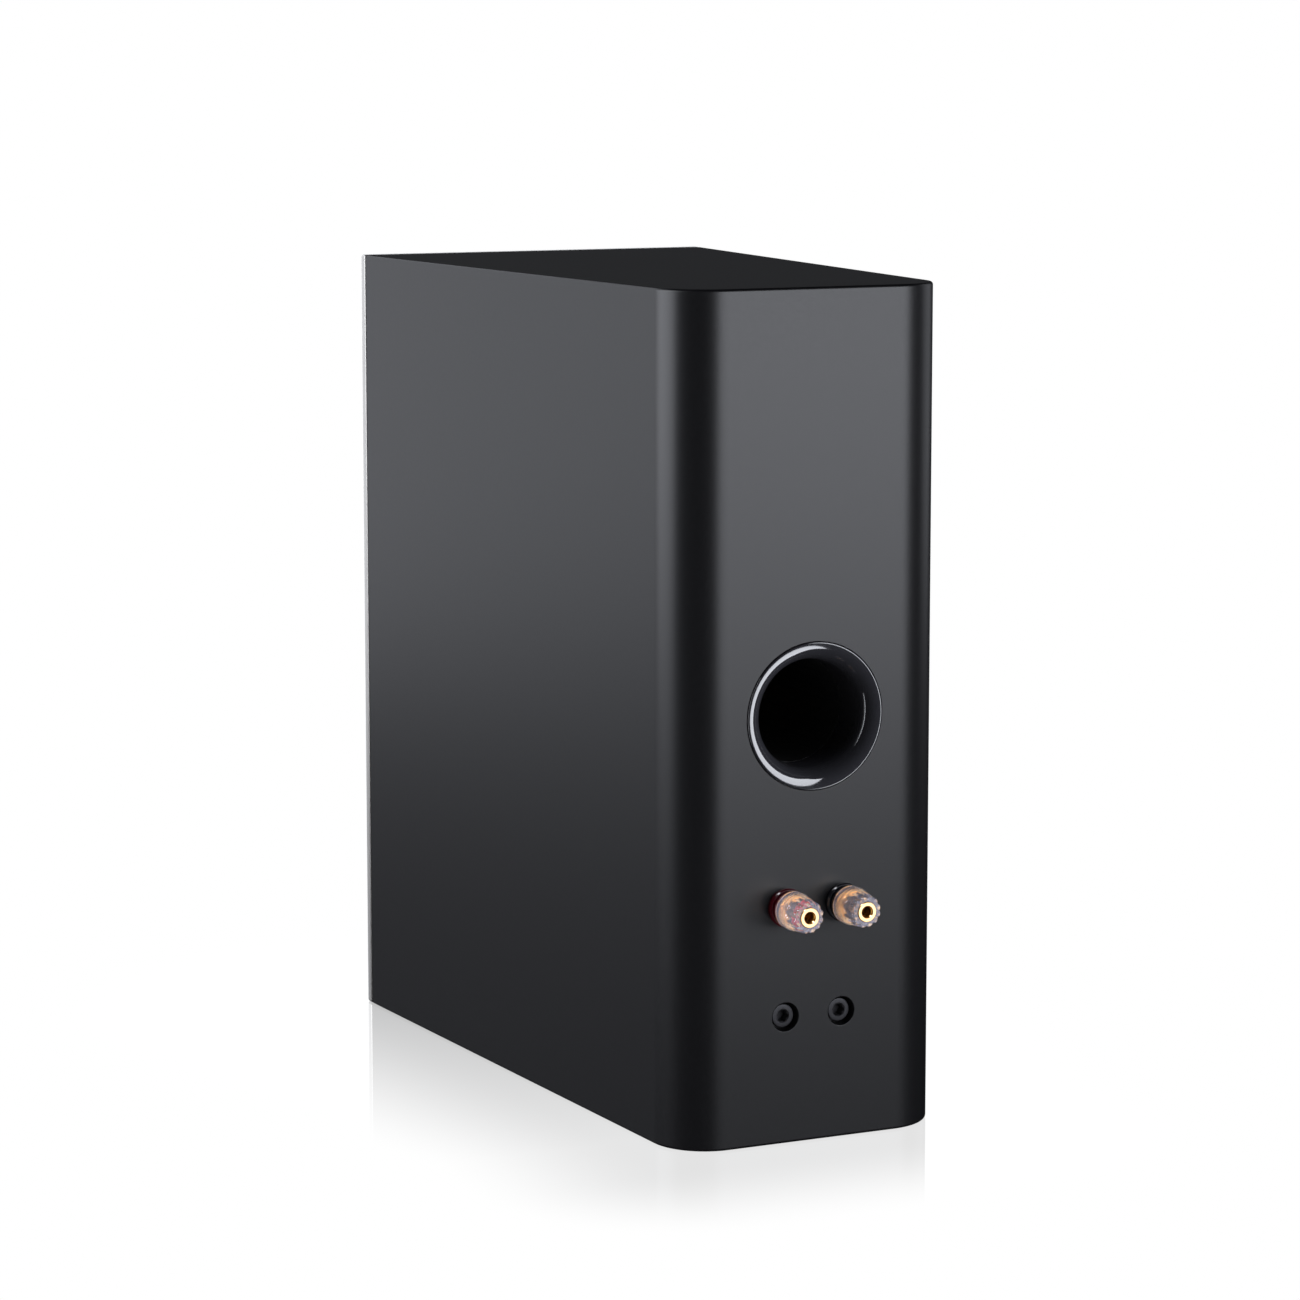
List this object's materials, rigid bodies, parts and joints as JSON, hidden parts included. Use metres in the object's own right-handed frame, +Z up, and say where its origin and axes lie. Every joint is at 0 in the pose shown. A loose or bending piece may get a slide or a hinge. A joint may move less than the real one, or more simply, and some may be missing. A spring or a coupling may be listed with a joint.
{
  "type": "bookshelf speaker",
  "caption": "Bookshelf loudspeaker: tapered satin black cabinet, metal front plate, woofer, dome tweeter, rear bass port and clear binding posts.",
  "frame": {"origin": "centre of the object's box on the plane that the cabinet stands on", "axes": "+Z up, -Y the way the drive units face, +Y the rear panel, +X the left side as seen from behind"},
  "size_m": [0.174, 0.3272, 0.36],
  "materials": {
    "cabinet_lacquer": "satin black lacquer on fibreboard",
    "fibreboard": "raw medium density fibreboard",
    "gasket_foam": "closed cell foam",
    "front_aluminium": "fine blasted, silver anodised",
    "lining_felt": "polyester felt",
    "port_gloss": "moulded, high gloss",
    "matt_black_plastic": "moulded, fine texture",
    "basket_paint": "satin black paint on cast aluminium",
    "surround_rubber": "matt",
    "cone_coating": "coated fibre cone",
    "spider_cloth": "resin treated cotton",
    "coil_copper": null,
    "zinc_steel": "zinc plated",
    "ferrite": "sintered ferrite",
    "black_steel": "black oxide",
    "dome_aluminium": "anodised foil",
    "red_plastic": "moulded, glossy",
    "black_plastic": "moulded, glossy",
    "gold_plate": "gold plated brass",
    "clear_plastic": null,
    "crossover_board": "glass fibre board with solder mask",
    "capacitor_film": "wrapped film",
    "cement": "cement case",
    "red_insulation": "PVC insulation",
    "black_insulation": "PVC insulation"
  },
  "bodies": {
    "cabinet": {"left_side_panel": "cabinet_lacquer", "right_side_panel": "cabinet_lacquer", "top_panel": "cabinet_lacquer", "bottom_panel": "cabinet_lacquer", "rear_panel": "cabinet_lacquer", "inner_baffle": "fibreboard", "window_brace": "fibreboard", "plate_gasket": "gasket_foam", "front_plate": "front_aluminium", "damping_lining": "lining_felt", "port_flange": "port_gloss", "port_tube": "matt_black_plastic", "woofer_basket": "basket_paint", "woofer_surround": "surround_rubber", "woofer_spider": "spider_cloth", "woofer_top_plate": "zinc_steel", "woofer_magnet": "ferrite", "woofer_pole_piece": "zinc_steel", "woofer_screw_1": "black_steel", "woofer_screw_2": "black_steel", "woofer_screw_3": "black_steel", "woofer_screw_4": "black_steel", "tweeter_faceplate": "matt_black_plastic", "tweeter_pole_tip": "zinc_steel", "tweeter_magnet": "zinc_steel", "tweeter_pot": "zinc_steel", "tweeter_screw_1": "black_steel", "tweeter_screw_2": "black_steel", "tweeter_screw_3": "black_steel", "red_terminal_base": "red_plastic", "red_terminal_stem": "gold_plate", "red_terminal_nut": "gold_plate", "red_input_lead": "red_insulation", "black_terminal_base": "black_plastic", "black_terminal_stem": "gold_plate", "black_terminal_nut": "gold_plate", "black_input_lead": "black_insulation", "left_mounting_bolt": "black_steel", "right_mounting_bolt": "black_steel", "left_threaded_bush": "zinc_steel", "right_threaded_bush": "zinc_steel", "crossover_board": "crossover_board", "crossover_inductor": "coil_copper", "crossover_capacitor": "capacitor_film", "crossover_resistor": "cement", "woofer_lead": "black_insulation", "tweeter_lead": "red_insulation"},
    "woofer_diaphragm": {"woofer_cone": "cone_coating", "woofer_dust_cap": "cone_coating", "woofer_voice_coil": "coil_copper"},
    "tweeter_diaphragm": {"tweeter_dome": "dome_aluminium", "tweeter_voice_coil": "coil_copper"},
    "red_clamp": {"red_terminal_clamp_ring": "red_plastic"},
    "red_knob": {"red_terminal_knob": "clear_plastic", "red_terminal_knob_core": "gold_plate", "red_terminal_marker_ring": "red_plastic"},
    "black_clamp": {"black_terminal_clamp_ring": "black_plastic"},
    "black_knob": {"black_terminal_knob": "clear_plastic", "black_terminal_knob_core": "gold_plate", "black_terminal_marker_ring": "black_plastic"}
  },
  "joints": [
    {"name": "woofer_stroke", "type": "slide", "parent": "cabinet", "child": "woofer_diaphragm", "axis": [0, -1, 0], "range_m": [-0.004, 0.004], "stiffness_N_per_m": 1200, "deforming": ["woofer_surround", "woofer_spider"]},
    {"name": "tweeter_stroke", "type": "slide", "parent": "cabinet", "child": "tweeter_diaphragm", "axis": [0, -1, 0], "range_m": [-0.00025, 0.00025], "stiffness_N_per_m": 4000},
    {"name": "red_clamp_travel", "type": "slide", "parent": "cabinet", "child": "red_clamp", "axis": [0, 1, 0], "range_m": [-0.00055, 0.00505]},
    {"name": "red_knob_turn", "type": "hinge", "parent": "red_clamp", "child": "red_knob", "pos_m": [0.0133, 0.14075, 0.1016], "axis": [0, 1, 0], "range_deg": [-180, 1800]},
    {"name": "black_clamp_travel", "type": "slide", "parent": "cabinet", "child": "black_clamp", "axis": [0, 1, 0], "range_m": [-0.00055, 0.00505]},
    {"name": "black_knob_turn", "type": "hinge", "parent": "black_clamp", "child": "black_knob", "pos_m": [-0.0133, 0.14075, 0.1016], "axis": [0, 1, 0], "range_deg": [-180, 1800]}
  ],
  "couplings": [
    {"joint": "red_clamp_travel", "follows": "red_knob_turn", "m_per_rad": 0.00015915},
    {"joint": "black_clamp_travel", "follows": "black_knob_turn", "m_per_rad": 0.00015915}
  ]
}
